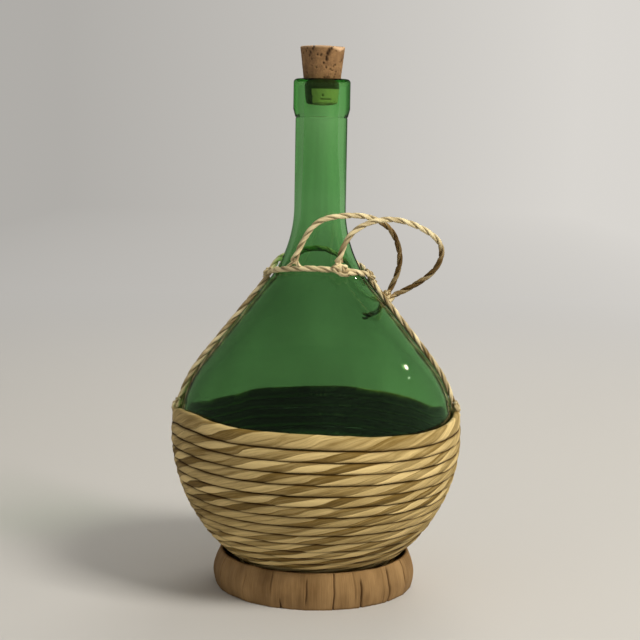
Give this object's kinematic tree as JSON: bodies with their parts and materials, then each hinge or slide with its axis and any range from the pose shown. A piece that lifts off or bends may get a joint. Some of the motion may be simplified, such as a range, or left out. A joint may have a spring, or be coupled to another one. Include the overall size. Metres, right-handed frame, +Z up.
{
  "type": "raffia wrapped wine bottle",
  "caption": "Round green glass wine flask with a long neck and tapered cork, in a coiled rope basket on a wood-shaving hoop, with rope straps and a looped carrying handle.",
  "frame": {"origin": "centre of the surface that the foot hoop stands on, on the axis of the flask", "axes": "+Z up along the neck, the front of the flask faces -Y, the handle hangs towards +X"},
  "size_m": [0.1568, 0.156, 0.2884],
  "materials": {
    "green_glass": "clear, smooth",
    "cork": "natural cork with dark pores",
    "sedge_rope": "dry twisted leaf, satin",
    "wood_shaving": "thin shaving, matt, creased"
  },
  "bodies": {
    "root": {"glass_flask": "green_glass", "cork": "cork", "basket": "sedge_rope", "foot_hoop": "wood_shaving", "neck_rope_front": "sedge_rope", "neck_rope_right": "sedge_rope", "neck_rope_back": "sedge_rope", "strap_left": "sedge_rope", "strap_right": "sedge_rope", "neck_knot_left": "sedge_rope", "neck_knot_right": "sedge_rope", "neck_knot_front": "sedge_rope", "rim_knot_left": "sedge_rope", "rim_knot_right": "sedge_rope", "handle_hitch": "sedge_rope", "handle_tail": "sedge_rope", "handle_cord_left": "sedge_rope", "handle_cord_right": "sedge_rope"}
  },
  "joints": []
}
